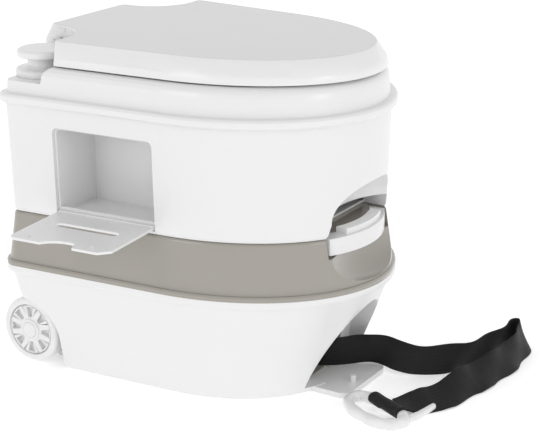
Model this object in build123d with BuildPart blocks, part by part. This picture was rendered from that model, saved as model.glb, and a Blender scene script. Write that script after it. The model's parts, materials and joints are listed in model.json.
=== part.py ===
"""Two-part portable camp toilet with wheels and a pull strap (millimetres).

Frame: +Z up, origin on the floor below the middle of the housing. The rounded
nose with the valve handle faces -Y, the wheels and the pump are towards +Y and
the paper compartment opens on the -X side.
"""
import os
from math import asin, cos, degrees, radians, sin, sqrt, tan

from build123d import *

# ---- driving dimensions -------------------------------------------------
HALF_WIDTH = 168.0      # half width of the bead outline where the nose starts
NOSE_REACH = 217.0      # from the nose ellipse's centre to the front
NOSE_CENTRE = 8.0       # Y of the nose ellipse's centre
REAR = 209.0            # Y of the rear wall
SIDE_SLOPE = 0.0796     # the sides spread towards the rear
CORNER = 16.0           # rear corner radius
WALL = 3.0              # moulded wall thickness

SEAM_Z = 140.5          # lower shell meets the waste tank's upper shell
RIM_LOW_Z = 132.0       # underside of the lower shell's rim
SPLIT_Z = 208.0         # top of the waste tank
TANK_Z = 208.6          # underside of the fresh water tank
BEAD_Z = 346.0          # seam between the water tank and the deck
BEAD_TOP_Z = 357.0
SHELF_Z = 372.0         # pump and filler shelf
DECK_Z = 391.0          # plateau below the seat
SKIRT_Z = 393.2         # lower edge of the lid
LID_REACH = 9.0         # the lid's nose reaches this much further than the housing's
LID_Z = 420.0           # top of the lid

RIM_OUT = 8.0           # the rim stands this far outside the bead outline
FOOT_IN = 24.0          # the foot is this far inside the bead outline
FOOT_RAKE = 22.0        # and the nose is set back this much more at the floor
LID_TOP_IN = 28.0
LID_SKIRT_IN = 14.5

PUMP_X, PUMP_Y = 130.0, 184.0
KNOB_R, NECK_R, COLLAR_R = 30.5, 16.8, 33.0
HINGE_Y, HINGE_Z, HINGE_R = 196.0, 403.0, 3.0
VALVE_Y = 0.0
VALVE_BORE_R = 55.0
BLADE_Z, BLADE_T = 196.0, 3.0
HANDLE_HALF = 68.0
WHEEL_R, WHEEL_Y, WHEEL_Z = 42.6, 200.0, 43.0
WHEEL_IN, WHEEL_OUT = 133.0, 161.0   # |X| of the wheel's two faces
ARCH_R = 51.0
AXLE_R = 5.0
DOOR_T = 3.0
DOOR_TILT = 0.0         # the opened door lies level
STRAP_W, STRAP_T = 38.0, 1.8

os.makedirs("parts", exist_ok=True)


# ---- outlines -----------------------------------------------------------
def plan(inset=0.0, rake=0.0, corner=CORNER):
    """Plan outline of the housing, moved inwards by inset."""
    a, b, rear = HALF_WIDTH - inset, NOSE_REACH - inset - rake, REAR - inset
    reach = sqrt(a * a + (SIDE_SLOPE * b) ** 2)
    turn = degrees(asin(SIDE_SLOPE * b / reach))
    rear_x = reach + SIDE_SLOPE * (rear - NOSE_CENTRE)
    with BuildSketch() as sketch:
        with BuildLine():
            nose = EllipticalCenterArc((0, NOSE_CENTRE), a, b, 180 + turn, arc_size=180 - 2 * turn)
            Line(nose @ 1, (rear_x, rear))
            Line((rear_x, rear), (-rear_x, rear))
            Line((-rear_x, rear), nose @ 0)
        make_face()
        if corner > 0:
            fillet(sketch.vertices().group_by(Axis.Y)[-1], max(corner - inset, 9))
    return sketch.sketch


def lid_plan(inset, cut_y, cut_r, tongue_y, round_r=9.0):
    """Lid outline: the housing's nose, and a tongue between two round rear cut-outs."""
    a, b = HALF_WIDTH - inset, NOSE_REACH - inset + LID_REACH
    reach = sqrt(a * a + (SIDE_SLOPE * b) ** 2)
    turn = degrees(asin(SIDE_SLOPE * b / reach))
    rear_x = reach + SIDE_SLOPE * (tongue_y - NOSE_CENTRE)
    with BuildSketch() as sketch:
        with BuildLine():
            nose = EllipticalCenterArc((0, NOSE_CENTRE), a, b, 180 + turn, arc_size=180 - 2 * turn)
            Line(nose @ 1, (rear_x, tongue_y))
            Line((rear_x, tongue_y), (-rear_x, tongue_y))
            Line((-rear_x, tongue_y), nose @ 0)
        make_face()
        with Locations((-132, cut_y), (132, cut_y)):
            Circle(cut_r, mode=Mode.SUBTRACT)
        corners = sketch.vertices().filter_by(lambda v: v.Y > NOSE_CENTRE + 40)
        fillet(corners, round_r)
    return sketch.sketch


def stacked(levels, ruled=True):
    """Solid through housing outlines; each level is (z, inset) or (z, inset, rake)."""
    with BuildPart() as body:
        for level in levels:
            with BuildSketch(Plane.XY.offset(level[0])):
                add(plan(*level[1:]))
        loft(ruled=ruled)
    return body.part


def lid_stack(levels):
    """Solid through lid outlines; each level is (z, inset, cut_y, cut_r, tongue_y)."""
    with BuildPart() as body:
        for level in levels:
            with BuildSketch(Plane.XY.offset(level[0])):
                add(lid_plan(*level[1:]))
        loft(ruled=True)
    return body.part


def block(x0, x1, y0, y1, z0, z1):
    """Box between two corners."""
    size = (x1 - x0, y1 - y0, z1 - z0)
    return Pos((x0 + x1) / 2, (y0 + y1) / 2, (z0 + z1) / 2) * Box(*size, mode=Mode.PRIVATE)


def rod(r, p, q):
    """Cylinder of radius r between two points."""
    along = Vector(*q) - Vector(*p)
    seat = (Align.CENTER, Align.CENTER, Align.MIN)
    return Plane(origin=p, z_dir=along) * Cylinder(r, along.length, align=seat, mode=Mode.PRIVATE)


def ellipsoid(centre, semi):
    """Ellipsoid with semi-axes along X, Y and Z."""
    return Pos(*centre) * scale(Sphere(1, mode=Mode.PRIVATE), by=semi, mode=Mode.PRIVATE)


def save(part, name):
    """Label a finished piece and write its STEP file."""
    part.label = name
    export_step(part, f"parts/{name}.step")


# ---- lower unit: shells -------------------------------------------------
def wheel_arch(grow=0.0):
    """Space around both wheels, made larger by grow."""
    r = ARCH_R + grow
    inner = WHEEL_IN - 6 - grow
    with BuildPart() as arch:
        for side in (-1, 1):
            add(rod(r, (side * inner, WHEEL_Y, WHEEL_Z), (side * 230, WHEEL_Y, WHEEL_Z)))
            x0, x1 = sorted((side * inner, side * 230))
            add(block(x0, x1, WHEEL_Y - r, WHEEL_Y + 60, -10, WHEEL_Z))
            add(block(x0, x1, WHEEL_Y, WHEEL_Y + 60, -10, WHEEL_Z + r))
    return arch.part


def front_scoop(grow=0.0):
    """Arched hollow in the lower nose, above the foot plate."""
    floor = 8.0 - grow
    with BuildPart() as scoop:
        with BuildSketch(Plane.XZ.offset(120)):
            Ellipse(65 + grow, 112 + grow)
            with Locations((0, floor - 150)):
                Rectangle(400, 300, mode=Mode.SUBTRACT)
        extrude(amount=120)
        with BuildSketch(Plane.YZ):
            with Locations((-206, 0)):
                Ellipse(70 + grow, 112 + grow)
            with Locations((-306, 0)):
                Rectangle(200, 2 * (112 + grow))
        extrude(amount=200, both=True, mode=Mode.INTERSECT)
    return scoop.part


POCKET_HALF, POCKET_TOP, POCKET_BACK = 34.0, 66.0, -92.0


def pocket_space(grow=0.0):
    """Strap pocket behind the scoop."""
    g = grow
    return block(-POCKET_HALF - g, POCKET_HALF + g, -175, POCKET_BACK + g, 8 - g, POCKET_TOP + g)


with BuildPart() as base_shell:
    add(stacked([(0, FOOT_IN, FOOT_RAKE), (RIM_LOW_Z, -2, 0)]))
    fillet(base_shell.faces().sort_by(Axis.Z)[0].edges(), 6)
    add(stacked([(RIM_LOW_Z, -RIM_OUT + 1, 0), (RIM_LOW_Z + 2, -RIM_OUT, 0), (SEAM_Z, -RIM_OUT, 0)]))
    add(wheel_arch(), mode=Mode.SUBTRACT)
    add(front_scoop(), mode=Mode.SUBTRACT)
    add(pocket_space(2.2), mode=Mode.SUBTRACT)
    with BuildPart(mode=Mode.PRIVATE) as base_space:
        add(stacked([(WALL, FOOT_IN + 3.5, FOOT_RAKE), (SEAM_Z + 1, 1.5, 0)]))
        add(wheel_arch(WALL), mode=Mode.SUBTRACT)
        add(front_scoop(WALL), mode=Mode.SUBTRACT)
        add(pocket_space(2.2 + WALL), mode=Mode.SUBTRACT)
        for side in (-1, 1):
            boss = (side * (WHEEL_IN - 34), WHEEL_Y - 1, WHEEL_Z)
            add(rod(12, boss, (side * WHEEL_IN, WHEEL_Y - 1, WHEEL_Z)), mode=Mode.SUBTRACT)
    add(base_space.part, mode=Mode.SUBTRACT)
    for side in (-1, 1):
        inner_end = (side * (WHEEL_IN - 30), WHEEL_Y, WHEEL_Z)
        add(rod(AXLE_R, inner_end, (side * 230, WHEEL_Y, WHEEL_Z)), mode=Mode.SUBTRACT)
    # foot plate under the scoop and the peg that parks the grip
    with BuildSketch(Plane.XY):
        with Locations((0, -170)):
            RectangleRounded(104, 60, 14)
    extrude(amount=7)
    with BuildSketch(Plane.XY.offset(6)):
        with Locations((-12, -186)):
            Circle(3.5)
    extrude(amount=9)
save(base_shell.part, "base_shell")

with BuildPart() as strap_pocket:
    add(pocket_space(2.0))
    add(pocket_space(), mode=Mode.SUBTRACT)
    add(block(-60, 60, -190, -135, -5, 100), mode=Mode.SUBTRACT)
save(strap_pocket.part, "strap_pocket")

with BuildPart() as strap_anchor:
    add(rod(4, (-POCKET_HALF + 0.2, -112, 34), (POCKET_HALF - 0.2, -112, 34)))
save(strap_anchor.part, "strap_anchor")


def handle_recess(grow=0.0):
    """Step for the valve handle at the top of the waste tank's nose."""
    with BuildPart() as recess:
        add(stacked([(184 - grow, -20), (SPLIT_Z + 12, -20)]))
        add(stacked([(170, 27 + grow), (SPLIT_Z + 20, 27 + grow)]), mode=Mode.SUBTRACT)
        add(block(-74 - grow, 74 + grow, -260, -60, 150, 240), mode=Mode.INTERSECT)
    return recess.part


def finger_scoop(grow=0.0):
    """Hollow below the valve handle for the fingers."""
    return ellipsoid((0, -214, 188), (116 + grow, 34 + grow, 40 + grow))


SPOUT_X, SPOUT_Z, SPOUT_R = 95.0, 176.0, 24.0
VENT_X, VENT_Y = 70.0, 150.0

with BuildPart() as waste_top:
    add(stacked([(SEAM_Z, -RIM_OUT, 0), (SEAM_Z + 4.5, -RIM_OUT, 0), (SEAM_Z + 6.5, -RIM_OUT + 1.5, 0)]))
    add(stacked([(SEAM_Z + 6.5, -4), (170, -0.5), (190, 2.5), (SPLIT_Z, 5)], ruled=False))
    fillet(waste_top.faces().sort_by(Axis.Z)[-1].edges(), 4.5)
    add(handle_recess(), mode=Mode.SUBTRACT)
    add(finger_scoop(), mode=Mode.SUBTRACT)
    add(rod(SPOUT_R, (SPOUT_X, 180, SPOUT_Z), (SPOUT_X, 224, SPOUT_Z)))
    with BuildPart(mode=Mode.PRIVATE) as top_space:
        add(stacked([(SEAM_Z - 1, 1.5), (170, 2.5), (190, 5.5), (SPLIT_Z - WALL, 8)], ruled=False))
        add(handle_recess(WALL), mode=Mode.SUBTRACT)
        add(finger_scoop(WALL), mode=Mode.SUBTRACT)
    add(top_space.part, mode=Mode.SUBTRACT)
    add(rod(SPOUT_R - 3, (SPOUT_X, 180, SPOUT_Z), (SPOUT_X, 230, SPOUT_Z)), mode=Mode.SUBTRACT)
    add(rod(VALVE_BORE_R + 2.2, (0, VALVE_Y, 190), (0, VALVE_Y, 220)), mode=Mode.SUBTRACT)
    add(block(-60.5, 60.5, -200, -150, BLADE_Z - 0.4, BLADE_Z + BLADE_T + 0.4), mode=Mode.SUBTRACT)
    # well for the vent button
    add(rod(9, (VENT_X, VENT_Y, SPLIT_Z - 6), (VENT_X, VENT_Y, 220)), mode=Mode.SUBTRACT)
    add(rod(13, (VENT_X, VENT_Y, SPLIT_Z - 20), (VENT_X, VENT_Y, SPLIT_Z - 1)))
    add(rod(9, (VENT_X, VENT_Y, SPLIT_Z - 8), (VENT_X, VENT_Y, 220)), mode=Mode.SUBTRACT)
    add(rod(3.06, (VENT_X, VENT_Y, SPLIT_Z - 30), (VENT_X, VENT_Y, SPLIT_Z)), mode=Mode.SUBTRACT)
save(waste_top.part, "waste_top")


# ---- lower unit: running gear -------------------------------------------
def wheel_solid(side):
    """Wheel with a raised rim and eight wedge pockets, its hub towards X = 0."""
    face = Plane(origin=(side * WHEEL_OUT, WHEEL_Y, WHEEL_Z), x_dir=(0, 1, 0), z_dir=(side, 0, 0))
    width = WHEEL_OUT - WHEEL_IN
    with BuildPart() as wheel:
        with BuildSketch(face):
            Circle(WHEEL_R)
        extrude(amount=-width)
        outer = wheel.faces().sort_by(Axis.X)[-1 if side > 0 else 0]
        fillet(outer.edges(), 5)
        with BuildSketch(face):
            Circle(WHEEL_R - 9)
        extrude(amount=-2.5, mode=Mode.SUBTRACT)
        dish = face.offset(-2.5)
        with BuildSketch(dish):
            Circle(WHEEL_R - 10.5)
        extrude(amount=1.5)
        with BuildSketch(dish.offset(1.5)):
            with PolarLocations(0, 8):
                Polygon((17, -2.2), (30, -5.5), (30, 5.5), (17, 2.2), align=None)
        extrude(amount=-6, mode=Mode.SUBTRACT)
        with BuildSketch(dish):
            Circle(14)
        extrude(amount=3.5)
        with BuildSketch(face.offset(-width)):
            Circle(WHEEL_R - 5)
            Circle(13, mode=Mode.SUBTRACT)
        extrude(amount=width - 12, mode=Mode.SUBTRACT)
        with BuildSketch(face):
            Circle(AXLE_R + 0.06)
        extrude(amount=-2 * width, both=True, mode=Mode.SUBTRACT)
        with BuildSketch(face):
            Circle(8.5)
        extrude(amount=-7, mode=Mode.SUBTRACT)
        with BuildSketch(face.offset(2)):
            Circle(10.1)
        extrude(amount=-4.2, mode=Mode.SUBTRACT)
    return wheel.part


for side, word in ((-1, "left"), (1, "right")):
    save(wheel_solid(side), f"wheel_{word}")
    with BuildPart() as hub_cap:
        inner, outer = side * (WHEEL_OUT - 2.1), side * (WHEEL_OUT + 1.6)
        add(rod(10, (inner, WHEEL_Y, WHEEL_Z), (outer, WHEEL_Y, WHEEL_Z)))
        fillet(hub_cap.faces().sort_by(Axis.X)[-1 if side > 0 else 0].edges(), 1.2)
    save(hub_cap.part, f"hub_cap_{word}")
    axle_end = side * (WHEEL_OUT - 2.6)
    with BuildPart() as axle:
        add(rod(AXLE_R, (side * (WHEEL_IN - 30), WHEEL_Y, WHEEL_Z), (axle_end, WHEEL_Y, WHEEL_Z)))
        add(rod(8, (side * (WHEEL_IN - 5.8), WHEEL_Y, WHEEL_Z), (side * (WHEEL_IN - 0.4), WHEEL_Y, WHEEL_Z)))
        groove = (side * (WHEEL_OUT - 5.6), side * (WHEEL_OUT - 4.4))
        with BuildPart(mode=Mode.PRIVATE) as ring:
            add(rod(7, (groove[0], WHEEL_Y, WHEEL_Z), (groove[1], WHEEL_Y, WHEEL_Z)))
            add(rod(4, (groove[0], WHEEL_Y, WHEEL_Z), (groove[1], WHEEL_Y, WHEEL_Z)), mode=Mode.SUBTRACT)
        add(ring.part, mode=Mode.SUBTRACT)
    save(axle.part, f"axle_{word}")
    with BuildPart() as axle_clip:
        add(rod(7.4, (groove[0], WHEEL_Y, WHEEL_Z), (groove[1], WHEEL_Y, WHEEL_Z)))
        add(rod(4, (groove[0], WHEEL_Y, WHEEL_Z), (groove[1], WHEEL_Y, WHEEL_Z)), mode=Mode.SUBTRACT)
    save(axle_clip.part, f"axle_clip_{word}")

# ---- slide valve --------------------------------------------------------
BLADE_BACK = 64.0

with BuildPart() as valve_guide:
    add(block(-68, 68, -150, BLADE_BACK + 10, BLADE_Z - 5, SPLIT_Z - WALL))
    add(block(-60.5, 60.5, -300, BLADE_BACK + 2, BLADE_Z - 0.4, BLADE_Z + BLADE_T + 0.4), mode=Mode.SUBTRACT)
    add(rod(VALVE_BORE_R, (0, VALVE_Y, 180), (0, VALVE_Y, 220)), mode=Mode.SUBTRACT)
save(valve_guide.part, "valve_guide")

with BuildPart() as valve_seal:
    add(rod(VALVE_BORE_R + 2.1, (0, VALVE_Y, SPLIT_Z - WALL), (0, VALVE_Y, SPLIT_Z + 0.3)))
    add(rod(VALVE_BORE_R - 4, (0, VALVE_Y, SPLIT_Z - 6), (0, VALVE_Y, SPLIT_Z + 4)), mode=Mode.SUBTRACT)
save(valve_seal.part, "valve_seal")


def nose_bar(outer_in, inner_in, half, z0, z1):
    """Curved bar that follows the nose between two insets."""
    with BuildPart() as bar:
        add(stacked([(z0, outer_in), (z1, outer_in)]))
        add(stacked([(z0 - 5, inner_in), (z1 + 5, inner_in)]), mode=Mode.SUBTRACT)
        add(block(-half, half, -260, -60, z0, z1), mode=Mode.INTERSECT)
    return bar.part


with BuildPart() as valve_blade:
    add(block(-59.5, 59.5, -260, BLADE_BACK, BLADE_Z, BLADE_Z + BLADE_T))
    add(stacked([(190, 26), (204, 26)]), mode=Mode.INTERSECT)
    add(block(-22, 22, -194, -170, BLADE_Z, BLADE_Z + BLADE_T))
    with Locations((-14, -188.5, BLADE_Z + BLADE_T), (14, -188.5, BLADE_Z + BLADE_T)):
        Hole(1.5, depth=BLADE_T)
save(valve_blade.part, "valve_blade")

with BuildPart() as valve_handle:
    add(nose_bar(7, 25.8, HANDLE_HALF, 186.5, 207))
    add(nose_bar(11, 24.5, 42, 206, 214.5))
    add(block(-22.1, 22.1, -194.1, -165, BLADE_Z, BLADE_Z + BLADE_T), mode=Mode.SUBTRACT)
    for x in (-14, 14):
        add(rod(1.5, (x, -188.5, 180), (x, -188.5, 206)), mode=Mode.SUBTRACT)
        add(rod(3, (x, -188.5, 180), (x, -188.5, 189)), mode=Mode.SUBTRACT)
save(valve_handle.part, "valve_handle")

with BuildPart() as valve_screws:
    for x in (-14, 14):
        add(rod(1.5, (x, -188.5, 188), (x, -188.5, 206)))
        add(rod(3, (x, -188.5, 187), (x, -188.5, 189)))
save(valve_screws.part, "valve_screws")

# ---- pull strap and grip -------------------------------------------------
# strap route on the floor: out of the pocket, to a fold, and back to the grip
STRAP_ROUTE = [
    (2, -116.3),
    (3, -132),
    (18, -152),
    (40, -168),
    (52, -192),
    (50, -216),
    (57, -242),
    (78, -265),
    (107, -283),
    (142, -297),
    (180, -301),
    (212, -303),
    (226, -317),
    (212, -333),
    (180, -338),
    (146, -340),
    (112, -338),
    (82, -330),
    (52, -321),
    (22, -311),
    (-8, -299),
    (-30, -289),
]
STRAP_LOW = 0.4         # lower edge of the strap on the floor
STRAP_RISE = 8.4        # lower edge over the foot plate and the pocket floor


def route_radii(route):
    """As large a bend at each corner as its two runs allow."""
    points = [Vector(*p) for p in route]
    radii = []
    for a, b, c in zip(points, points[1:], points[2:]):
        turn = radians((b - a).get_angle(c - b))
        radii.append(0.45 * min((b - a).length, (c - b).length) / tan(turn / 2))
    return radii


strap_radii = route_radii(STRAP_ROUTE)
print("strap bends", [round(r) for r in strap_radii])

with BuildPart() as strap_webbing:
    with BuildSketch(Plane.XY.offset(STRAP_LOW)):
        with BuildLine() as strap_line:
            FilletPolyline(*STRAP_ROUTE, radius=strap_radii)
        strap_length = sum(edge.length for edge in strap_line.edges())
        trace(line_width=STRAP_T)
    extrude(amount=STRAP_RISE - STRAP_LOW + STRAP_W)
    # the upper and lower edges step up over the foot plate
    with BuildPart(mode=Mode.PRIVATE) as strap_band:
        with BuildSketch(Plane.YZ):
            with BuildLine():
                lower = Polyline((-380, STRAP_LOW), (-236, STRAP_LOW), (-203, STRAP_RISE), (-100, STRAP_RISE))
                upper = Polyline((-100, STRAP_RISE + STRAP_W), (-203, STRAP_RISE + STRAP_W))
                Line(lower @ 1, upper @ 0)
                far_top = STRAP_LOW + STRAP_W
                Polyline(upper @ 1, (-236, far_top), (-380, far_top), (-380, STRAP_LOW))
            make_face()
        extrude(amount=400, both=True)
    add(strap_band.part, mode=Mode.INTERSECT)
print("strap length", round(strap_length, 1))
save(strap_webbing.part, "strap_webbing")

GRIP_T = 9.0
with BuildPart() as strap_grip:
    with BuildSketch(Plane.XY.offset(0.2)):
        with BuildLine():
            Polyline(
                (-22, -302), (-31, -283), (-26, -262), (-30, -240), (-26, -222), (-36, -205), (-56, -198)
            )
            Spline(
                (-56, -198), (-80, -206), (-96, -232), (-100, -262),
                (-92, -288), (-70, -302), (-48, -308), (-22, -302),
            )
        make_face()
        with BuildLine(mode=Mode.PRIVATE) as finger_hole:
            Polyline((-46, -286), (-42, -262), (-45, -240), (-42, -222), (-58, -213))
            Spline((-58, -213), (-76, -222), (-86, -246), (-86, -268), (-76, -286), (-60, -292), (-46, -286))
        with BuildSketch(mode=Mode.PRIVATE) as hole:
            add(finger_hole.line)
            make_face()
        add(hole.sketch, mode=Mode.SUBTRACT)
    extrude(amount=GRIP_T)
save(strap_grip.part, "strap_grip")

# ---- lower unit: emptying spout and vent ---------------------------------
SPOUT_FACE = 224.0

with BuildPart() as spout_gasket:
    add(rod(SPOUT_R - 0.5, (SPOUT_X, SPOUT_FACE, SPOUT_Z), (SPOUT_X, SPOUT_FACE + 1.5, SPOUT_Z)))
    bore_start, bore_end = (SPOUT_X, SPOUT_FACE - 1, SPOUT_Z), (SPOUT_X, SPOUT_FACE + 3, SPOUT_Z)
    add(rod(SPOUT_R - 4, bore_start, bore_end), mode=Mode.SUBTRACT)
save(spout_gasket.part, "spout_gasket")

with BuildPart() as spout_cap:
    add(rod(SPOUT_R + 4, (SPOUT_X, SPOUT_FACE - 5, SPOUT_Z), (SPOUT_X, SPOUT_FACE + 5, SPOUT_Z)))
    fillet(spout_cap.faces().sort_by(Axis.Y)[-1].edges(), 1.5)
    with BuildSketch(Plane(origin=(SPOUT_X, SPOUT_FACE + 5, SPOUT_Z), x_dir=(1, 0, 0), z_dir=(0, 1, 0))):
        with PolarLocations(SPOUT_R + 4.6, 12):
            Circle(2.2)
    extrude(amount=-10, mode=Mode.SUBTRACT)
    socket_start, socket_end = (SPOUT_X, SPOUT_FACE - 6, SPOUT_Z), (SPOUT_X, SPOUT_FACE + 1.55, SPOUT_Z)
    add(rod(SPOUT_R + 0.08, socket_start, socket_end), mode=Mode.SUBTRACT)
save(spout_cap.part, "spout_cap")

with BuildPart() as vent_button:
    add(rod(8.6, (VENT_X, VENT_Y, SPLIT_Z - 4.5), (VENT_X, VENT_Y, SPLIT_Z - 1)))
    add(rod(3, (VENT_X, VENT_Y, SPLIT_Z - 27), (VENT_X, VENT_Y, SPLIT_Z - 4.5)))
    add(rod(6, (VENT_X, VENT_Y, SPLIT_Z - 25), (VENT_X, VENT_Y, SPLIT_Z - 22)))
save(vent_button.part, "vent_button")

# ---- upper unit: water tank ---------------------------------------------
DOOR_Y0, DOOR_Y1 = -1.5, 135.5
DOOR_Z0, DOOR_Z1 = 211.8, 321.8
PAPER_DEPTH_X = -97.0
PAPER_CORNER = 8.0


def hand_scoop(grow=0.0):
    """Hollow in the water tank's nose above the valve handle."""
    with BuildPart() as scoop:
        add(ellipsoid((0, -207, 227), (77 + grow, 48 + grow, 40 + grow)))
        with BuildSketch(Plane.XZ.offset(150)):
            Polygon(
                (-75 - grow, 200), (75 + grow, 200), (68 + grow, 226 + grow), (-68 - grow, 226 + grow),
                align=None,
            )
        extrude(amount=120)
    return scoop.part


def paper_space(grow=0.0):
    """Paper compartment inside the side wall, made larger by grow."""
    with BuildPart() as space:
        with BuildSketch(Plane.YZ.offset(PAPER_DEPTH_X + grow)) as outline:
            with Locations(((DOOR_Y0 + DOOR_Y1) / 2, (DOOR_Z0 + DOOR_Z1) / 2)):
                Rectangle(DOOR_Y1 - DOOR_Y0 + 2 * grow, DOOR_Z1 - DOOR_Z0 + 2 * grow)
            fillet(outline.vertices().group_by(Axis.Y)[-1], PAPER_CORNER + grow)
        extrude(amount=-140)
    return space.part


PUMP_TUBE_R = 16.0
DOOR_HINGE = (-166.6, 67.0, 215.2)
DOOR_ALONG = (0.0796, -0.9968, 0.0)       # along the door's hinge, towards the nose


def on_hinge(distance):
    """Point on the door's hinge line, measured from its middle towards the nose."""
    return tuple(DOOR_HINGE[i] + distance * DOOR_ALONG[i] for i in range(3))


BOWL_Y = -12.0


def bowl_solid(inset):
    """Solid inside the bowl's wall, moved inwards by inset."""
    with BuildPart() as body:
        for z, a, b, y in ((DECK_Z, 112, 135, BOWL_Y), (330, 84, 106, BOWL_Y), (212, 56, 56, VALVE_Y)):
            with BuildSketch(Plane.XY.offset(z)):
                with Locations((0, y)):
                    Ellipse(a - inset, b - inset - 0.01)
        loft()
    return body.part


tank_levels = [(TANK_Z, 6.5), (TANK_Z + 4, 5), (BEAD_Z, 1.2)]

with BuildPart() as tank_shell:
    add(stacked(tank_levels))
    add(hand_scoop(), mode=Mode.SUBTRACT)
    with BuildPart(mode=Mode.PRIVATE) as tank_space:
        add(stacked([(TANK_Z + WALL, 8.2), (BEAD_Z + 1, 4.2)]))
        add(hand_scoop(WALL), mode=Mode.SUBTRACT)
        add(paper_space(2.0), mode=Mode.SUBTRACT)
        add(rod(VALVE_BORE_R + 8, (0, VALVE_Y, 200), (0, VALVE_Y, TANK_Z + 14)), mode=Mode.SUBTRACT)
    add(tank_space.part, mode=Mode.SUBTRACT)
    add(paper_space(), mode=Mode.SUBTRACT)
    add(rod(VALVE_BORE_R + 3.2, (0, VALVE_Y, 200), (0, VALVE_Y, 216)), mode=Mode.SUBTRACT)
    add(bowl_solid(0), mode=Mode.SUBTRACT)
    for end in (-1, 1):
        add(rod(1.5, on_hinge(end * 60), on_hinge(end * 72)), mode=Mode.SUBTRACT)
save(tank_shell.part, "tank_shell")

with BuildPart() as paper_liner:
    add(paper_space(-0.1))
    add(paper_space(-2.6), mode=Mode.SUBTRACT)
    with BuildPart(mode=Mode.PRIVATE) as curb:
        add(block(-230, -120, DOOR_Y0 + 1, DOOR_Y1 - 1, DOOR_Z0 + 2, 222))
        add(stacked([(200, 12.6), (BEAD_Z, 8.4)]), mode=Mode.SUBTRACT)
    add(curb.part)
    add(stacked([(200, 9.8), (BEAD_Z, 5.6)]), mode=Mode.INTERSECT)
    add(rod(3.4, on_hinge(-90), on_hinge(90)), mode=Mode.SUBTRACT)
save(paper_liner.part, "paper_liner")

with BuildPart() as door_pins:
    for end in (-1, 1):
        add(rod(1.5, on_hinge(end * 60), on_hinge(end * 70.5)))
save(door_pins.part, "door_pins")

# the door's own plane: X from the hinge outwards, Y towards the nose
OUTWARD = (-0.9968 * cos(radians(DOOR_TILT)), -0.0796 * cos(radians(DOOR_TILT)), sin(radians(DOOR_TILT)))
door_normal = Vector(*OUTWARD).cross(Vector(*DOOR_ALONG))
door_plane = Plane(origin=DOOR_HINGE, x_dir=OUTWARD, z_dir=door_normal)

with BuildPart() as paper_door:
    with BuildSketch(door_plane.offset(-DOOR_T / 2)):
        with BuildLine():
            Polyline((0, -67), (98, -67), (104, -61), (104, -23))
            Spline((104, -23), (94, -12), (90, 0), (90, 16), tangents=[(-1, 0.6), (0, 1)])
            Polyline((90, 16), (104, 21), (104, 55), (92, 67), (0, 67), (0, -67))
        make_face()
        with Locations((42.5, 0.5)):
            SlotOverall(87, 12.5, rotation=90, mode=Mode.SUBTRACT)
    extrude(amount=DOOR_T)
    with BuildSketch(door_plane.offset(DOOR_T / 2)):
        with Locations((93, -47), (90, 39)):
            Circle(3)
    extrude(amount=1.2)
    add(rod(3, on_hinge(-67), on_hinge(67)))
    add(rod(1.56, on_hinge(-67.5), on_hinge(-59)), mode=Mode.SUBTRACT)
    add(rod(1.56, on_hinge(59), on_hinge(67.5)), mode=Mode.SUBTRACT)
save(paper_door.part, "paper_door")

# ---- upper unit: deck ----------------------------------------------------
SHELF_R = 58.0
SHELF_FRONT = 168.0
LUG_IN, LUG_OUT = 86.5, 92.5


def shelf_space(grow=0.0):
    """Space over the rear shelf, made larger by grow."""
    with BuildPart() as space:
        for side in (-1, 1):
            at = (side * 133, 190)
            add(rod(SHELF_R + grow, (*at, SHELF_Z - grow), (*at, DECK_Z + 20)))
        add(block(-230, 230, SHELF_FRONT + 12 - grow, 260, SHELF_Z - grow, DECK_Z + 20))
        add(block(-94, 94, SHELF_FRONT - grow, 260, SHELF_Z - grow, DECK_Z + 20))
    return space.part


with BuildPart() as deck:
    bead = [(BEAD_Z, -4), (BEAD_Z + 2.5, -6), (BEAD_TOP_Z - 2.5, -6), (BEAD_TOP_Z, -4), (BEAD_TOP_Z + 0.5, 3)]
    add(stacked(bead))
    add(stacked([(BEAD_TOP_Z - 2, 3), (SHELF_Z, 4.5), (382, 5.6), (386.5, 8), (389.5, 11.5), (DECK_Z, 15.5)]))
    add(shelf_space(), mode=Mode.SUBTRACT)
    with BuildPart(mode=Mode.PRIVATE) as deck_space:
        add(stacked([(BEAD_Z - 1, 4.2), (BEAD_TOP_Z, 6.2), (380, 8.6), (385, 12), (DECK_Z - WALL, 16)]))
        add(shelf_space(WALL), mode=Mode.SUBTRACT)
    add(deck_space.part, mode=Mode.SUBTRACT)
    with BuildSketch(Plane.XY.offset(DECK_Z + 5)):
        with Locations((0, BOWL_Y)):
            Ellipse(112, 135)
    extrude(amount=-20, mode=Mode.SUBTRACT)
    for side in (-1, 1):
        x0, x1 = sorted((side * LUG_IN, side * LUG_OUT))
        add(block(x0, x1, HINGE_Y - 6, HINGE_Y + 6, SHELF_Z - 1, HINGE_Z))
        add(rod(6, (x0, HINGE_Y, HINGE_Z), (x1, HINGE_Y, HINGE_Z)))
        add(Pos(side * 46, -207, 392) * Sphere(13, mode=Mode.PRIVATE), mode=Mode.SUBTRACT)
    add(rod(HINGE_R, (-100, HINGE_Y, HINGE_Z), (100, HINGE_Y, HINGE_Z)), mode=Mode.SUBTRACT)
    add(rod(PUMP_TUBE_R, (-PUMP_X, PUMP_Y, 360), (-PUMP_X, PUMP_Y, 380)), mode=Mode.SUBTRACT)
    # filler neck
    add(rod(27, (PUMP_X, PUMP_Y, SHELF_Z - 14), (PUMP_X, PUMP_Y, SHELF_Z + 10)))
    add(rod(24, (PUMP_X, PUMP_Y, SHELF_Z - 20), (PUMP_X, PUMP_Y, SHELF_Z + 20)), mode=Mode.SUBTRACT)
save(deck.part, "deck")

with BuildPart() as hinge_rod:
    add(rod(HINGE_R, (-94, HINGE_Y, HINGE_Z), (94, HINGE_Y, HINGE_Z)))
save(hinge_rod.part, "hinge_rod")

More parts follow.
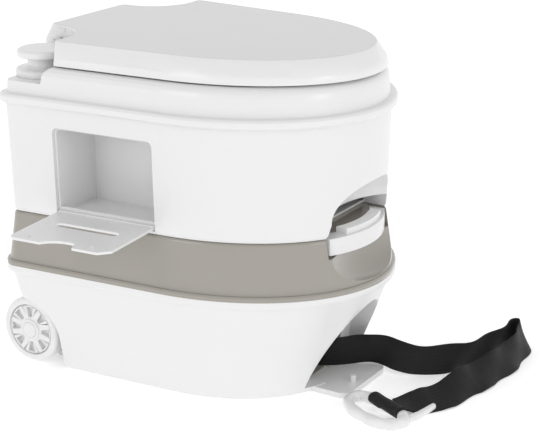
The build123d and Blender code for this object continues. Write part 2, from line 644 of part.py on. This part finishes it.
# ---- upper unit: bowl ----------------------------------------------------
NOZZLE = (-66.0, 92.0, 372.0)
NOZZLE_IN = (-52.0, 70.0, 372.0)

with BuildPart() as bowl:
    add(bowl_solid(0))
    with BuildSketch(Plane.XY.offset(DECK_Z - WALL)):
        with Locations((0, BOWL_Y)):
            Ellipse(119, 142)
    extrude(amount=-WALL)
    add(rod(VALVE_BORE_R + 3, (0, VALVE_Y, 209.8), (0, VALVE_Y, 216)))
    add(bowl_solid(WALL), mode=Mode.SUBTRACT)
    add(rod(VALVE_BORE_R - 3, (0, VALVE_Y, 205), (0, VALVE_Y, 230)), mode=Mode.SUBTRACT)
    add(rod(6, NOZZLE, NOZZLE_IN), mode=Mode.SUBTRACT)
save(bowl.part, "bowl")

with BuildPart() as flush_nozzle:
    add(rod(6, NOZZLE, NOZZLE_IN))
    add(rod(4, NOZZLE, NOZZLE_IN), mode=Mode.SUBTRACT)
save(flush_nozzle.part, "flush_nozzle")

# ---- upper unit: flush pump ----------------------------------------------
PISTON_Z = 262.0


def pump_rod_at(r, z0, z1):
    """Cylinder on the pump's axis."""
    return rod(r, (-PUMP_X, PUMP_Y, z0), (-PUMP_X, PUMP_Y, z1))


with BuildPart() as pump_body:
    add(pump_rod_at(PUMP_TUBE_R, 236, SHELF_Z))
    add(pump_rod_at(14, 239, SHELF_Z + 1), mode=Mode.SUBTRACT)
    add(pump_rod_at(5, 230, 240), mode=Mode.SUBTRACT)
save(pump_body.part, "pump_body")

with BuildPart() as pump_collar:
    with BuildSketch(Plane.XZ.offset(-PUMP_Y)):
        with BuildLine():
            Polyline(
                (6.05 - PUMP_X, SHELF_Z), (COLLAR_R - PUMP_X, SHELF_Z), (COLLAR_R - PUMP_X, SHELF_Z + 5.5)
            )
            Polyline(
                (COLLAR_R - PUMP_X, SHELF_Z + 5.5), (COLLAR_R - 2 - PUMP_X, SHELF_Z + 8), (23 - PUMP_X, SHELF_Z + 9)
            )
            Polyline(
                (23 - PUMP_X, SHELF_Z + 9), (NECK_R + 2 - PUMP_X, SHELF_Z + 12), (NECK_R - PUMP_X, SHELF_Z + 22)
            )
            Polyline((NECK_R - PUMP_X, SHELF_Z + 22), (6.05 - PUMP_X, SHELF_Z + 22), (6.05 - PUMP_X, SHELF_Z))
        make_face()
    revolve(axis=Axis((-PUMP_X, PUMP_Y, 0), (0, 0, 1)))
save(pump_collar.part, "pump_collar")

with BuildPart() as pump_rod:
    add(pump_rod_at(6, PISTON_Z, SHELF_Z + 28))
save(pump_rod.part, "pump_rod")

with BuildPart() as pump_piston:
    add(pump_rod_at(13.95, PISTON_Z - 8, PISTON_Z))
save(pump_piston.part, "pump_piston")

with BuildPart() as pump_knob:
    add(pump_rod_at(KNOB_R, SHELF_Z + 22.5, SHELF_Z + 31.5))
    fillet(pump_knob.faces().sort_by(Axis.Z)[-1].edges(), 4)
    fillet(pump_knob.faces().sort_by(Axis.Z)[0].edges(), 2)
    add(pump_rod_at(6, SHELF_Z + 20, SHELF_Z + 28), mode=Mode.SUBTRACT)
save(pump_knob.part, "pump_knob")

# ---- upper unit: filler ----------------------------------------------------
with BuildPart() as filler_gasket:
    add(rod(26.5, (PUMP_X, PUMP_Y, SHELF_Z + 10), (PUMP_X, PUMP_Y, SHELF_Z + 11.5)))
    add(rod(24, (PUMP_X, PUMP_Y, SHELF_Z + 9), (PUMP_X, PUMP_Y, SHELF_Z + 12)), mode=Mode.SUBTRACT)
save(filler_gasket.part, "filler_gasket")

with BuildPart() as filler_cap:
    add(rod(31, (PUMP_X, PUMP_Y, SHELF_Z + 0.5), (PUMP_X, PUMP_Y, SHELF_Z + 17)))
    fillet(filler_cap.faces().sort_by(Axis.Z)[-1].edges(), 2)
    with BuildSketch(Plane.XY.offset(SHELF_Z + 17)):
        with Locations((PUMP_X, PUMP_Y)):
            with PolarLocations(32.4, 18):
                Circle(2.6)
    extrude(amount=-17, mode=Mode.SUBTRACT)
    add(rod(27.08, (PUMP_X, PUMP_Y, SHELF_Z), (PUMP_X, PUMP_Y, SHELF_Z + 11.55)), mode=Mode.SUBTRACT)
save(filler_cap.part, "filler_cap")

# ---- seat and lid ----------------------------------------------------------
SEAT_Z, SEAT_TOP = 393.2, 405.5

with BuildPart() as seat:
    add(lid_stack([(SEAT_Z, 26, 190, 59, 168), (SEAT_TOP, 26, 190, 59, 168)]))
    fillet(seat.faces().sort_by(Axis.Z)[-1].edges(), 3.5)
    with BuildSketch(Plane.XY.offset(SEAT_TOP + 1)):
        with Locations((0, BOWL_Y)):
            Ellipse(98, 123)
    extrude(amount=-20, taper=8, mode=Mode.SUBTRACT)
    for side in (-1, 1):
        x0, x1 = sorted((side * 56, side * 66))
        add(block(x0, x1, 150, HINGE_Y, HINGE_Z - 6, HINGE_Z + 1))
        add(rod(7, (x0, HINGE_Y, HINGE_Z), (x1, HINGE_Y, HINGE_Z)))
    add(rod(HINGE_R + 0.07, (-80, HINGE_Y, HINGE_Z), (80, HINGE_Y, HINGE_Z)), mode=Mode.SUBTRACT)
save(seat.part, "seat")

with BuildPart() as seat_bumpers:
    for x, y in ((-118, 60), (118, 60), (-92, -118), (92, -118)):
        add(rod(7, (x, y, DECK_Z + 0.1), (x, y, SEAT_Z)))
save(seat_bumpers.part, "seat_bumpers")

with BuildPart() as lid:
    add(lid_stack([(SKIRT_Z, LID_SKIRT_IN, 190, 51, 221), (402, LID_SKIRT_IN + 1, 190, 51.4, 220.5)]))
    add(lid_stack([(402, LID_SKIRT_IN + 1, 190, 51.4, 220.5), (LID_Z, LID_TOP_IN, 206, 57, 216)]))
    fillet(lid.faces().sort_by(Axis.Z)[-1].edges(), 2)
    with BuildPart(mode=Mode.PRIVATE) as lid_space:
        skirt_foot = (SKIRT_Z - 1, LID_SKIRT_IN + 3, 190, 53, 219)
        skirt_head = (402, LID_SKIRT_IN + 4, 190, 53.6, 218)
        add(lid_stack([skirt_foot, skirt_head]))
        add(lid_stack([(402, LID_SKIRT_IN + 4, 190, 53.6, 218), (LID_Z - 3.4, LID_TOP_IN + 2, 204, 60, 213)]))
    add(lid_space.part, mode=Mode.SUBTRACT)
    for side in (-1, 1):
        x0, x1 = sorted((side * 70, side * 79))
        add(rod(7, (x0, HINGE_Y, HINGE_Z), (x1, HINGE_Y, HINGE_Z)))
        add(block(x0, x1, HINGE_Y - 7, HINGE_Y + 7, HINGE_Z, LID_Z - 3))
        x0, x1 = sorted((side * 85.8, side * 110))
        add(block(x0, x1, HINGE_Y, 240, 380, 430), mode=Mode.SUBTRACT)
    add(rod(HINGE_R + 0.07, (-100, HINGE_Y, HINGE_Z), (100, HINGE_Y, HINGE_Z)), mode=Mode.SUBTRACT)
save(lid.part, "lid")
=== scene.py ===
"""Looks of the portable camp toilet: materials, strap, grip and small mouldings (metres)."""
import json
import math

import bmesh
import bpy
import numpy as np
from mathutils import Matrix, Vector


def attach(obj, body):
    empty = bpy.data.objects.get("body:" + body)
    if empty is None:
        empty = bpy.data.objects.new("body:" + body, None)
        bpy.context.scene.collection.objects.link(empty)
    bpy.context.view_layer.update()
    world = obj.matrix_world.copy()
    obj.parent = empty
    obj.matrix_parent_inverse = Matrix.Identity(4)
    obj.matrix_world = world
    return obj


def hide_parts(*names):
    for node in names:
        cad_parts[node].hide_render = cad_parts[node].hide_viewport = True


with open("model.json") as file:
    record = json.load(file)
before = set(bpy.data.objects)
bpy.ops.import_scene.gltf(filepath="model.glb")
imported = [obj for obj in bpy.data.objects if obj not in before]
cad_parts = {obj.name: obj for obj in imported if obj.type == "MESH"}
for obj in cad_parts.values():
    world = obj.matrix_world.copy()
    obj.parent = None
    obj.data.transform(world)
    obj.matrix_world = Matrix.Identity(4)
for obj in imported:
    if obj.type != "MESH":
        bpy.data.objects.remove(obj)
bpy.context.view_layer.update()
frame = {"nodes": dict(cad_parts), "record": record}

MM = 0.001


# ---- materials ------------------------------------------------------------
def node_material(name):
    """Empty material with its shader and a way to add and join nodes."""
    made = bpy.data.materials.new(name)
    made.use_nodes = True
    tree = made.node_tree
    return made, tree, tree.nodes["Principled BSDF"]


def value_range(tree, source, low, high):
    """Map a 0 to 1 value onto a range."""
    step = tree.nodes.new("ShaderNodeMapRange")
    step.inputs["To Min"].default_value = low
    step.inputs["To Max"].default_value = high
    tree.links.new(source, step.inputs["Value"])
    return step.outputs["Result"]


def noise(tree, scale, detail=3.0, roughness=0.5):
    """Noise in the object's own coordinates."""
    coordinates = tree.nodes.new("ShaderNodeTexCoord")
    texture = tree.nodes.new("ShaderNodeTexNoise")
    texture.inputs["Scale"].default_value = scale
    texture.inputs["Detail"].default_value = detail
    texture.inputs["Roughness"].default_value = roughness
    tree.links.new(coordinates.outputs["Object"], texture.inputs["Vector"])
    return texture.outputs["Fac"]


def bump(tree, height, strength, distance, under=None):
    """Bump on top of another one, or on the plain surface."""
    step = tree.nodes.new("ShaderNodeBump")
    step.inputs["Strength"].default_value = strength
    step.inputs["Distance"].default_value = distance
    tree.links.new(height, step.inputs["Height"])
    if under:
        tree.links.new(under, step.inputs["Normal"])
    return step.outputs["Normal"]


def plastic(name, color, rough, coat=0.25, grain=0.02, wave=0.12, dirt=0.03, painted_top_shade=None):
    """Moulded plastic: fine grain, faint flow waviness, handling marks and slight tint variation.

    A darker top colour, which is painted shade, is used on faces that look straight up, fading out
    on the sloping edge."""
    made, tree, shader = node_material(name)
    shader.inputs["IOR"].default_value = 1.5
    shader.inputs["Coat Weight"].default_value = coat
    shader.inputs["Coat Roughness"].default_value = 0.12
    mottling = noise(tree, 9.0, 4.0)
    tint = tree.nodes.new("ShaderNodeMix")
    tint.data_type = "RGBA"
    tint.inputs["A"].default_value = (*color, 1)
    tint.inputs["B"].default_value = (*[c * (1 - dirt) for c in color], 1)
    tree.links.new(mottling, tint.inputs["Factor"])
    shade = tint.outputs["Result"]
    # painted shade: faces that look straight up get a darker colour, as if less light fell on them
    # from overhead
    if painted_top_shade:
        geometry = tree.nodes.new("ShaderNodeNewGeometry")
        parts = tree.nodes.new("ShaderNodeSeparateXYZ")
        tree.links.new(geometry.outputs["Normal"], parts.inputs["Vector"])
        upward = tree.nodes.new("ShaderNodeMapRange")
        upward.inputs["From Min"].default_value = 0.80
        upward.inputs["From Max"].default_value = 0.985
        tree.links.new(parts.outputs["Z"], upward.inputs["Value"])
        painted_top_shade_mix = tree.nodes.new("ShaderNodeMix")
        painted_top_shade_mix.data_type = "RGBA"
        painted_top_shade_mix.inputs["B"].default_value = (*painted_top_shade, 1)
        tree.links.new(upward.outputs["Result"], painted_top_shade_mix.inputs["Factor"])
        tree.links.new(shade, painted_top_shade_mix.inputs["A"])
        shade = painted_top_shade_mix.outputs["Result"]
    tree.links.new(shade, shader.inputs["Base Color"])
    marks = noise(tree, 30.0, 2.0, 0.5)
    tree.links.new(value_range(tree, marks, rough * 0.92, rough * 1.1), shader.inputs["Roughness"])
    flow = bump(tree, noise(tree, 14.0, 1.0), wave, 0.6 * MM)
    fine = bump(tree, noise(tree, 1400.0, 2.0), grain, 0.2 * MM, under=flow)
    tree.links.new(fine, shader.inputs["Normal"])
    return made


def steel(name):
    """Drawn steel with fine lines and soft stains."""
    made, tree, shader = node_material(name)
    shader.inputs["Base Color"].default_value = (0.60, 0.60, 0.62, 1)
    shader.inputs["Metallic"].default_value = 1.0
    stains = value_range(tree, noise(tree, 300.0, 5.0), 0.22, 0.42)
    tree.links.new(stains, shader.inputs["Roughness"])
    tree.links.new(bump(tree, noise(tree, 900.0), 0.15, 0.1 * MM), shader.inputs["Normal"])
    return made


def rubber(name):
    """Matt black rubber with a fine bloom."""
    made, tree, shader = node_material(name)
    shader.inputs["Base Color"].default_value = (0.02, 0.02, 0.021, 1)
    bloom = value_range(tree, noise(tree, 120.0, 4.0), 0.6, 0.85)
    tree.links.new(bloom, shader.inputs["Roughness"])
    tree.links.new(bump(tree, noise(tree, 1500.0), 0.2, 0.2 * MM), shader.inputs["Normal"])
    return made


# weave of the webbing, in millimetres
HERRINGBONE, ROW_PITCH, RIB_PITCH = 2.4, 1.5, 1.1


def webbing_material(name):
    """Black woven webbing: ribs across, herringbone rows along, and a satin thread sheen.

    The UV map holds millimetres: U along the strap and V across it."""
    made, tree, shader = node_material(name)
    uv = tree.nodes.new("ShaderNodeUVMap")
    uv.uv_map = "thread"
    split = tree.nodes.new("ShaderNodeSeparateXYZ")
    tree.links.new(uv.outputs["UV"], split.inputs["Vector"])

    def math_node(operation, a, b=None):
        step = tree.nodes.new("ShaderNodeMath")
        step.operation = operation
        for socket, value in zip(step.inputs, (a, b)):
            if isinstance(value, (int, float)):
                socket.default_value = value
            elif value is not None:
                tree.links.new(value, socket)
        return step.outputs["Value"]

    along, across = split.outputs["X"], split.outputs["Y"]
    zigzag = math_node("PINGPONG", across, HERRINGBONE)
    slant = math_node("ADD", along, zigzag)
    rows = math_node("SINE", math_node("MULTIPLY", slant, 2 * math.pi / ROW_PITCH))
    ribs = math_node("SINE", math_node("MULTIPLY", across, 2 * math.pi / RIB_PITCH))
    weave = math_node("MULTIPLY_ADD", rows, 0.5)
    weave.node.inputs[2].default_value = 0.5
    height = math_node("ADD", weave, math_node("MULTIPLY", ribs, 0.25))
    tone = tree.nodes.new("ShaderNodeMix")
    tone.data_type = "RGBA"
    tone.inputs["A"].default_value = (0.003, 0.003, 0.0033, 1)
    tone.inputs["B"].default_value = (0.011, 0.011, 0.012, 1)
    tree.links.new(weave, tone.inputs["Factor"])
    tree.links.new(tone.outputs["Result"], shader.inputs["Base Color"])
    tree.links.new(value_range(tree, noise(tree, 90.0, 4.0), 0.5, 0.72), shader.inputs["Roughness"])
    shader.inputs["Sheen Weight"].default_value = 0.04
    shader.inputs["Specular IOR Level"].default_value = 0.3
    shader.inputs["Sheen Roughness"].default_value = 0.4
    tree.links.new(bump(tree, height, 0.6, 0.3 * MM), shader.inputs["Normal"])
    return made


WHITE = plastic("white_moulding", (0.79, 0.79, 0.79), 0.30)
# the lid's top is painted darker: painted shade where less light falls from overhead
LID_WHITE_SHADED_TOP = plastic("white_lid_painted_top_shade", (0.80, 0.80, 0.80), 0.30, wave=0.08, painted_top_shade=(0.655, 0.655, 0.655))
TAUPE = plastic("taupe_moulding", (0.335, 0.315, 0.278), 0.20, coat=0.7, wave=0.25, dirt=0.07)
INNER = plastic("inner_moulding", (0.60, 0.60, 0.585), 0.42, coat=0.0, grain=0.05)
STEEL = steel("drawn_steel")
RUBBER = rubber("black_rubber")
WEBBING = webbing_material("black_webbing")

FINISH = {
    "white_plastic": WHITE,
    "taupe_plastic": TAUPE,
    "inner_plastic": INNER,
    "steel": STEEL,
    "seal_rubber": RUBBER,
    "black_webbing": WEBBING,
}


# ---- camera ---------------------------------------------------------------
camera_data = bpy.data.cameras.new("camera")
camera_data.lens = 103.65
camera_data.sensor_width = 36
camera_data.shift_x = -0.0123
camera_data.shift_y = -0.0052
camera = bpy.data.objects.new("camera", camera_data)
bpy.context.scene.collection.objects.link(camera)
camera.location = (-1.550, -1.021, 0.810)
aim = Vector((0, -0.06815, 0.200)) - camera.location
camera.rotation_euler = aim.to_track_quat("-Z", "Y").to_euler()
bpy.context.scene.camera = camera


# ---- mesh helpers ----------------------------------------------------------
def smooth_line(points, closed=False, steps=12):
    """Points along a smooth curve through given control points."""
    curve = bpy.data.curves.new("route", "CURVE")
    curve.dimensions = "3D"
    spline = curve.splines.new("NURBS")
    spline.points.add(len(points) - 1)
    for point, place in zip(spline.points, points):
        point.co = (*place, 1)
    spline.order_u = 3
    spline.resolution_u = steps
    if closed:
        spline.use_cyclic_u = True
    else:
        spline.use_endpoint_u = True
    holder = bpy.data.objects.new("route", curve)
    mesh = bpy.data.meshes.new_from_object(holder)
    line = [v.co.copy() for v in mesh.vertices]
    bpy.data.objects.remove(holder)
    bpy.data.curves.remove(curve)
    bpy.data.meshes.remove(mesh)
    return line


def piece(name, verts, faces, body, material):
    """New object that rides on a body."""
    mesh = bpy.data.meshes.new(name)
    mesh.from_pydata([tuple(v) for v in verts], [], faces)
    mesh.validate()
    built = bmesh.new()
    built.from_mesh(mesh)
    bmesh.ops.recalc_face_normals(built, faces=built.faces)
    built.to_mesh(mesh)
    built.free()
    mesh.materials.append(material)
    mesh.shade_smooth()
    made = bpy.data.objects.new(name, mesh)
    bpy.context.scene.collection.objects.link(made)
    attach(made, body)
    return made


def thread_map(made, places):
    """UV map that holds millimetres on the webbing, from a place for each vertex."""
    threads = made.data.uv_layers.new(name="thread")
    for loop in made.data.loops:
        threads.data[loop.index].uv = places[loop.vertex_index]


def ring_faces(rings, around, closed):
    """Quads between rings of points, with end caps on an open run."""
    faces = []
    last = rings if closed else rings - 1
    for i in range(last):
        for j in range(around):
            a, b = i * around, ((i + 1) % rings) * around
            k = (j + 1) % around
            faces.append((a + j, a + k, b + k, b + j))
    if not closed:
        faces.append(tuple(range(around))[::-1])
        faces.append(tuple((rings - 1) * around + j for j in range(around)))
    return faces


def squared(value, power=0.8):
    """Cosine or sine pushed outward, for a rounded section between an oval and a box."""
    return math.copysign(abs(value) ** power, value)


def moulded_bar(name, line, wide, high, body, material, closed=False):
    """Bar of rounded section along a line; wide is a function of the fraction along it."""
    around = 20
    verts = []
    count = len(line)
    for i, p in enumerate(line):
        ahead = line[(i + 1) % count] if closed else line[min(i + 1, count - 1)]
        behind = line[i - 1] if closed or i else line[0]
        forward = (ahead - behind).normalized()
        side = forward.cross(Vector((0, 0, 1))).normalized()
        upward = side.cross(forward)
        w = wide(i / (count - 1))
        for j in range(around):
            turn = 2 * math.pi * j / around
            out = side * w * squared(math.cos(turn))
            rise = upward * high * squared(math.sin(turn))
            verts.append(p + out + rise)
    return piece(name, verts, ring_faces(count, around, closed), body, material)


# ---- pull strap ---------------------------------------------------------------
STRAP_WIDTH = 38 * MM
STRAP_THICK = 1.8 * MM
# the strap's lower edge lies at least this far above the floor
FLOOR_GAP = 0.4 * MM
# the route on the floor, and the height of the strap's middle above it
STRAP_ROUTE = [
    (2, -116.3, 27.4),
    (3, -132, 27.4),
    (18, -152, 27.4),
    (40, -168, 27.4),
    (52, -192, 27.2),
    (50, -216, 23.5),
    (57, -242, 19.8),
    (78, -265, 19.6),
    (107, -283, 19.6),
    (142, -297, 19.6),
    (178, -299, 19.4),
    (206, -300, 18.8),
    (214, -311, 18.4),
    (200, -323, 18.4),
    (172, -329, 18.2),
    (140, -331, 18.0),
    (108, -329, 17.6),
    (80, -324, 17.0),
    (52, -318, 15.4),
    (22, -312, 12.6),
    (-8, -298, 9.4),
    (-30, -282, 8.0),
    (-46, -262, 8.6),
]
# lean of the strap's width at fractions of its length: (fraction, tilt to its left in degrees)
STRAP_LEAN = [
    (0.00, 0), (0.08, 8), (0.16, -14), (0.25, -10), (0.33, 10), (0.45, 6), (0.52, 12),
    (0.56, 20), (0.62, 24), (0.70, 26), (0.76, 34), (0.82, 34), (0.88, 48), (0.94, 72), (1.00, 90),
]
strap_line = smooth_line([(x * MM, y * MM, z * MM) for x, y, z in STRAP_ROUTE])
strap_steps = np.array([(b - a).length for a, b in zip(strap_line, strap_line[1:])])
strap_along = np.concatenate([[0], np.cumsum(strap_steps)])
strap_length = float(strap_along[-1])

section = []
HALF, THICK = STRAP_WIDTH / 2, STRAP_THICK / 2
for v in np.linspace(-1, 1, 15):
    # thinner along both selvedges
    edge = THICK * (1.0 if abs(v) < 0.85 else 0.8)
    section.append((v * HALF, edge))
section += [(v, -t) for v, t in reversed(section)]
strap_verts, strap_uv = [], []
for i, p in enumerate(strap_line):
    ahead, behind = strap_line[min(i + 1, len(strap_line) - 1)], strap_line[max(i - 1, 0)]
    forward = ahead - behind
    forward.z = 0
    forward.normalize()
    left = Vector((-forward.y, forward.x, 0))
    share = strap_along[i] / strap_length
    tilt = math.radians(float(np.interp(share, *zip(*STRAP_LEAN))))
    ripple = 0.16 * math.sin(share * 58) * min(1, 8 * share)
    width_way = Vector((0, 0, math.cos(tilt + ripple))) + left * math.sin(tilt + ripple) * -1
    face_way = width_way.cross(forward).normalized()
    lowest = min((width_way * across + face_way * out).z for across, out in section)
    p.z = max(p.z, FLOOR_GAP - lowest)
    for across, out in section:
        strap_verts.append(p + width_way * across + face_way * out)
        strap_uv.append((strap_along[i] / MM, across / MM))
strap_faces = ring_faces(len(strap_line), len(section), False)
strap = piece("webbing_strap", strap_verts, strap_faces, "waste_unit", WEBBING)
thread_map(strap, strap_uv)
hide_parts("strap_webbing")

# the strap's sewn end, wrapped round the grip's bar: half sizes in millimetres
WRAP_RINGS, WRAP_AROUND = 25, 28
WRAP_WIDE, WRAP_HIGH = 8.4, 7.6
LOOP_A, LOOP_B = Vector((-45, -232, 9.2)) * MM, Vector((-67, -281, 9.2)) * MM
loop_way = (LOOP_B - LOOP_A).normalized()
loop_side = loop_way.cross(Vector((0, 0, 1))).normalized()
wrap_verts, wrap_uv = [], []
for i in range(WRAP_RINGS):
    p = LOOP_A.lerp(LOOP_B, i / (WRAP_RINGS - 1))
    for j in range(WRAP_AROUND):
        turn = 2 * math.pi * j / WRAP_AROUND
        swell = MM * (1 + 0.04 * math.sin(3 * turn + i * 0.5))
        rise = Vector((0, 0, WRAP_HIGH * swell * math.sin(turn)))
        wrap_verts.append(p + loop_side * WRAP_WIDE * swell * math.cos(turn) + rise)
        # around the wrap and along it, in millimetres
        wrap_uv.append((turn * 8, i * 2.1))
wrap_faces = ring_faces(WRAP_RINGS, WRAP_AROUND, False)
wrap = piece("webbing_wrap", wrap_verts, wrap_faces, "waste_unit", WEBBING)
thread_map(wrap, wrap_uv)

GRIP_LINE = [
    (-46, -232), (-42, -220), (-48, -209), (-64, -208), (-80, -218), (-92, -240),
    (-99, -262), (-97, -280), (-86, -290), (-73, -291), (-66, -281), (-56, -257),
]
GRIP_Z = 6.8 * MM
GRIP_HALF = 6.3 * MM


def scallops(fraction):
    """Half width of the grip with nine finger waves round it."""
    return (6.2 + 1.1 * math.cos(2 * math.pi * fraction * 9)) * MM


grip_points = smooth_line([(x * MM, y * MM, GRIP_Z) for x, y in GRIP_LINE], closed=True, steps=14)
grip = moulded_bar(
    "hand_grip", grip_points, scallops, GRIP_HALF,
    "waste_unit", WHITE, closed=True,
)
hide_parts("strap_grip")
TAB_LINE = [(-70, -288), (-56, -296), (-40, -298), (-22, -301)]
TAB_Z = 5.2 * MM
tab_points = smooth_line([(x * MM, y * MM, TAB_Z) for x, y in TAB_LINE])
tab = moulded_bar(
    "grip_tab", tab_points, lambda fraction: (4.8 - 1.6 * fraction) * MM, 4.0 * MM,
    "waste_unit", WHITE,
)

# ---- CAD nodes: finish and softened edges ---------------------------------------
record = frame["record"]
slot_of = {part["node"]: part["material_slot"] for part in record["subparts"]}
# rounding of the sharp edges of each node, in millimetres
EDGE = {
    "base_shell": 1.2, "waste_top": 1.0, "tank_shell": 1.0, "deck": 1.2, "lid": 1.2, "seat": 1.0,
    "valve_handle": 2.0, "paper_door": 0.8, "paper_liner": 0.6, "filler_cap": 0.5,
    "pump_collar": 0.8, "pump_knob": 0.4, "wheel_left": 0.8, "wheel_right": 0.8,
    "spout_cap": 0.5, "bowl": 0.6,
}
for name, made in frame["nodes"].items():
    material = LID_WHITE_SHADED_TOP if name == "lid" else FINISH[slot_of[name]]
    made.data.materials.clear()
    made.data.materials.append(material)
    if name in EDGE:
        weld = made.modifiers.new("weld", "WELD")
        weld.merge_threshold = 0.00001
        bevel = made.modifiers.new("soft_edges", "BEVEL")
        bevel.width = EDGE[name] * MM
        bevel.segments = 3
        bevel.limit_method = "ANGLE"
        bevel.angle_limit = math.radians(35)
        bevel.harden_normals = True

# ---- floor, light -----------------------------------------------------------------
floor_mesh = bpy.data.meshes.new("floor")
FLOOR = 6
corners = [(-FLOOR, -FLOOR, 0), (FLOOR, -FLOOR, 0), (FLOOR, FLOOR, 0), (-FLOOR, FLOOR, 0)]
floor_mesh.from_pydata(corners, [], [(0, 1, 2, 3)])
floor_material, floor_tree, floor_shader = node_material("pale_floor")
floor_shader.inputs["Base Color"].default_value = (0.97, 0.97, 0.97, 1)
scuffs = value_range(floor_tree, noise(floor_tree, 3.0), 0.62, 0.7)
floor_tree.links.new(scuffs, floor_shader.inputs["Roughness"])
floor_shader.inputs["Emission Color"].default_value = (1, 1, 1, 1)
floor_shader.inputs["Emission Strength"].default_value = 0.30
floor_mesh.materials.append(floor_material)
floor = bpy.data.objects.new("floor", floor_mesh)
bpy.context.scene.collection.objects.link(floor)

world = bpy.data.worlds.new("studio")
world.use_nodes = True
# a dome that is brighter near the horizon than overhead
sky = world.node_tree
outlook = sky.nodes.new("ShaderNodeTexCoord")
height_split = sky.nodes.new("ShaderNodeSeparateXYZ")
sky.links.new(outlook.outputs["Generated"], height_split.inputs["Vector"])
brightness = value_range(sky, height_split.outputs["Z"], 1.10, 0.66)
sky.links.new(brightness, sky.nodes["Background"].inputs["Strength"])
sky.nodes["Background"].inputs["Color"].default_value = (1, 1, 1, 1)
bpy.context.scene.world = world


def soft_light(name, place, target, size, power):
    """Square soft box aimed at a point."""
    data = bpy.data.lights.new(name, "AREA")
    data.shape = "SQUARE"
    data.size = size
    data.energy = power
    lamp = bpy.data.objects.new(name, data)
    lamp.location = place
    lamp.rotation_euler = (Vector(target) - Vector(place)).to_track_quat("-Z", "Y").to_euler()
    bpy.context.scene.collection.objects.link(lamp)


soft_light("key", (-2.2, 0.5, 1.2), (0, 0, 0.25), 0.7, 4.0)
soft_light("front", (-0.5, -2.2, 0.9), (0, -0.1, 0.2), 0.5, 3.0)
bpy.context.scene.view_settings.view_transform = "Standard"
